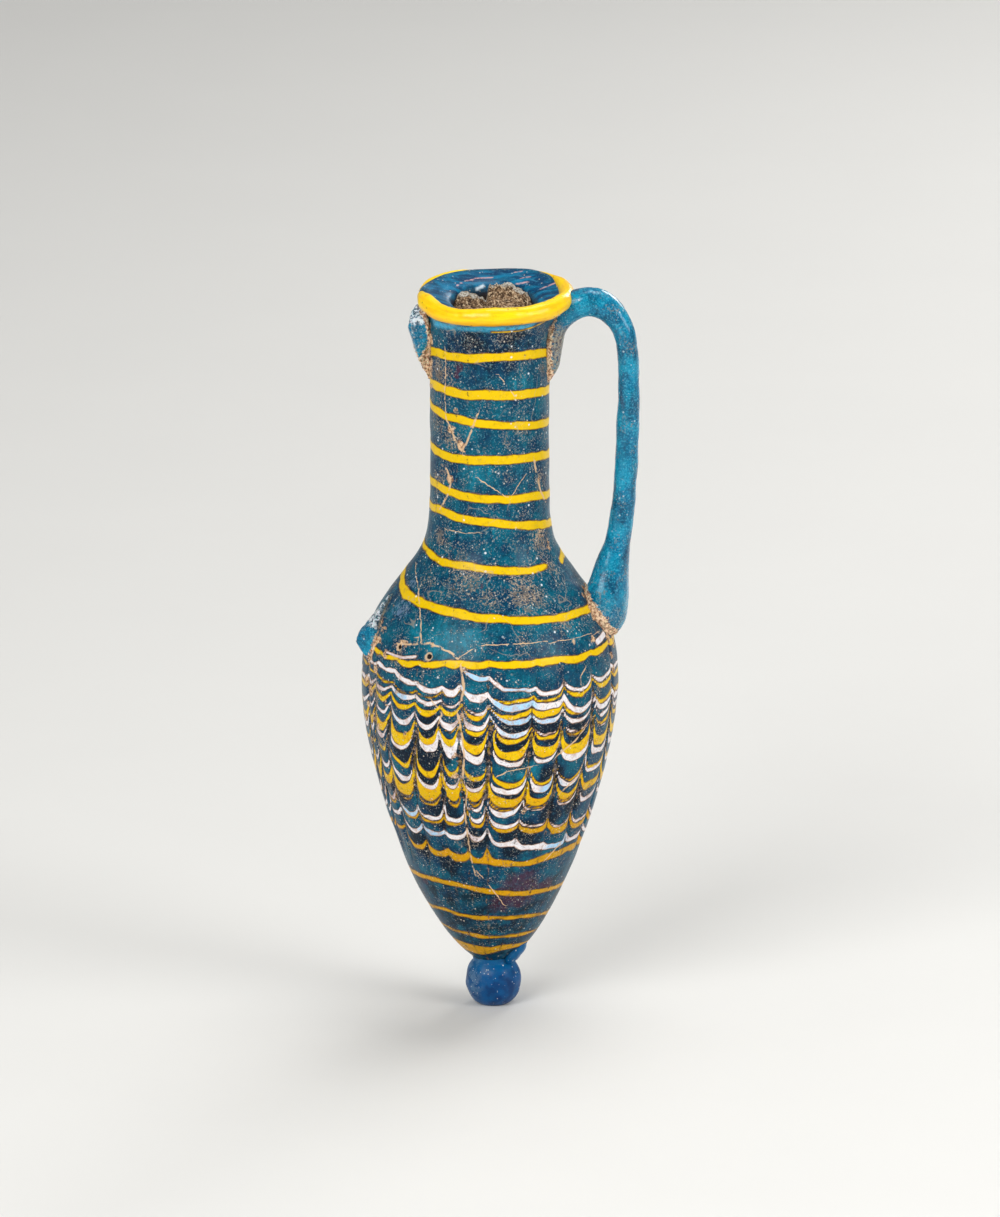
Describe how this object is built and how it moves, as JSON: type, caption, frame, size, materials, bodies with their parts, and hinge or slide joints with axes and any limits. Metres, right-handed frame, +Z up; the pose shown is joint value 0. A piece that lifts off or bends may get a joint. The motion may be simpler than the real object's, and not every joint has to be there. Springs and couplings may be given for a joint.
{
  "type": "glass amphoriskos",
  "caption": "Small two-handled glass oil flask with an egg-shaped combed body, tall neck, coiled mouth and ball knob foot; one handle is broken off.",
  "frame": {"origin": "on the vessel's axis, on the ground under the flat of the ball knob", "axes": "+Z up along the vessel's axis; +X towards the surviving handle; -Y is the front"},
  "size_m": [0.0693, 0.0623, 0.1818],
  "materials": {
    "vessel_glass": "deep blue, nearly opaque glass with combed yellow, white and pale blue threads, weathered in patches",
    "yellow_glass": "opaque yellow glass trail, smooth, slightly worn",
    "turquoise_glass": "translucent turquoise blue glass with scratches and beige crust at the joints",
    "knob_glass": "translucent mid blue glass with white weathering on one side"
  },
  "bodies": {
    "root": {"vessel_body": "vessel_glass", "rim_coil": "yellow_glass", "base_knob": "knob_glass", "handle": "turquoise_glass", "handle_stub_neck": "turquoise_glass", "handle_stub_shoulder": "turquoise_glass"}
  },
  "joints": []
}
